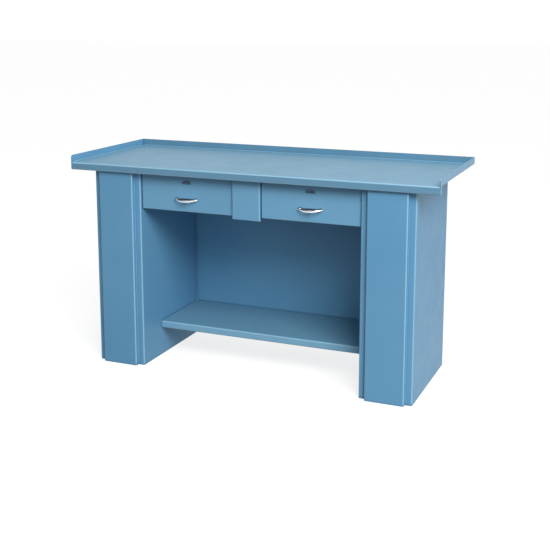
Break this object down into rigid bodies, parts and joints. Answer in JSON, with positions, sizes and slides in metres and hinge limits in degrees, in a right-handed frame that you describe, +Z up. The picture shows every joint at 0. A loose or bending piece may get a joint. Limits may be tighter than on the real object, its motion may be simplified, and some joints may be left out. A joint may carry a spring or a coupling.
{
  "type": "workbench with drawers",
  "caption": "Sheet-steel workbench with a rimmed tray top on box pedestals, lockable drawers under the top beside a centre hanger, and a low shelf with a back panel.",
  "frame": {"origin": "on the floor, at the centre of the bench's outline seen from above", "axes": "+Z up, +X along the bench to the worker's right, +Y from the worker to the back; the drawers open along -Y"},
  "size_m": [1.5, 0.57, 0.85],
  "materials": {
    "blue_paint": "semi-gloss stoved enamel",
    "zinc_plate": "zinc plated",
    "chrome": "polished",
    "dark_metal": "satin black",
    "white_nylon": "moulded",
    "black_rubber": "matt"
  },
  "bodies": {
    "bench": {"worktop_tray": "blue_paint", "centre_hanger": "blue_paint", "centre_panel": "blue_paint", "back_panel": "blue_paint", "lower_shelf": "blue_paint", "shelf_stiffener": "blue_paint", "worktop_stiffener_left": "blue_paint", "strike_rail_left": "blue_paint", "shelf_bracket_left": "blue_paint", "pedestal_left_shell": "blue_paint", "pedestal_left_base_plate": "blue_paint", "pedestal_left_top_plate": "blue_paint", "pedestal_left_back_cover": "blue_paint", "worktop_nut_left_front_left": "zinc_plate", "worktop_nut_left_front_right": "zinc_plate", "worktop_nut_left_back_left": "zinc_plate", "worktop_nut_left_back_right": "zinc_plate", "rail_left_outer": "zinc_plate", "rail_left_inner": "zinc_plate", "drawer_buffer_left": "black_rubber", "worktop_stiffener_right": "blue_paint", "strike_rail_right": "blue_paint", "shelf_bracket_right": "blue_paint", "pedestal_right_shell": "blue_paint", "pedestal_right_base_plate": "blue_paint", "pedestal_right_top_plate": "blue_paint", "pedestal_right_back_cover": "blue_paint", "worktop_nut_right_front_left": "zinc_plate", "worktop_nut_right_front_right": "zinc_plate", "worktop_nut_right_back_left": "zinc_plate", "worktop_nut_right_back_right": "zinc_plate", "rail_right_outer": "zinc_plate", "rail_right_inner": "zinc_plate", "drawer_buffer_right": "black_rubber"},
    "drawer_left": {"drawer_left_front": "blue_paint", "drawer_left_box": "blue_paint", "drawer_left_handle": "chrome", "handle_plate_left": "dark_metal", "handle_screw_left_a": "zinc_plate", "handle_screw_left_b": "zinc_plate", "drawer_left_outer_runner": "white_nylon", "drawer_left_inner_runner": "white_nylon", "lock_left_cup": "dark_metal", "lock_left_housing": "zinc_plate"},
    "drawer_right": {"drawer_right_front": "blue_paint", "drawer_right_box": "blue_paint", "drawer_right_handle": "chrome", "handle_plate_right": "dark_metal", "handle_screw_right_a": "zinc_plate", "handle_screw_right_b": "zinc_plate", "drawer_right_outer_runner": "white_nylon", "drawer_right_inner_runner": "white_nylon", "lock_right_cup": "dark_metal", "lock_right_housing": "zinc_plate"},
    "lock_left": {"lock_left_barrel": "zinc_plate", "lock_left_cam": "zinc_plate"},
    "lock_right": {"lock_right_barrel": "zinc_plate", "lock_right_cam": "zinc_plate"}
  },
  "joints": [
    {"name": "drawer_left_slide", "type": "slide", "parent": "bench", "child": "drawer_left", "axis": [0, -1, 0], "range_m": [0, 0.36]},
    {"name": "drawer_right_slide", "type": "slide", "parent": "bench", "child": "drawer_right", "axis": [0, -1, 0], "range_m": [0, 0.36]},
    {"name": "lock_left_turn", "type": "hinge", "parent": "drawer_left", "child": "lock_left", "pos_m": [-0.256, -0.215, 0.765], "axis": [0, -1, 0], "range_deg": [0, 90]},
    {"name": "lock_right_turn", "type": "hinge", "parent": "drawer_right", "child": "lock_right", "pos_m": [0.256, -0.215, 0.765], "axis": [0, -1, 0], "range_deg": [0, 90]}
  ]
}
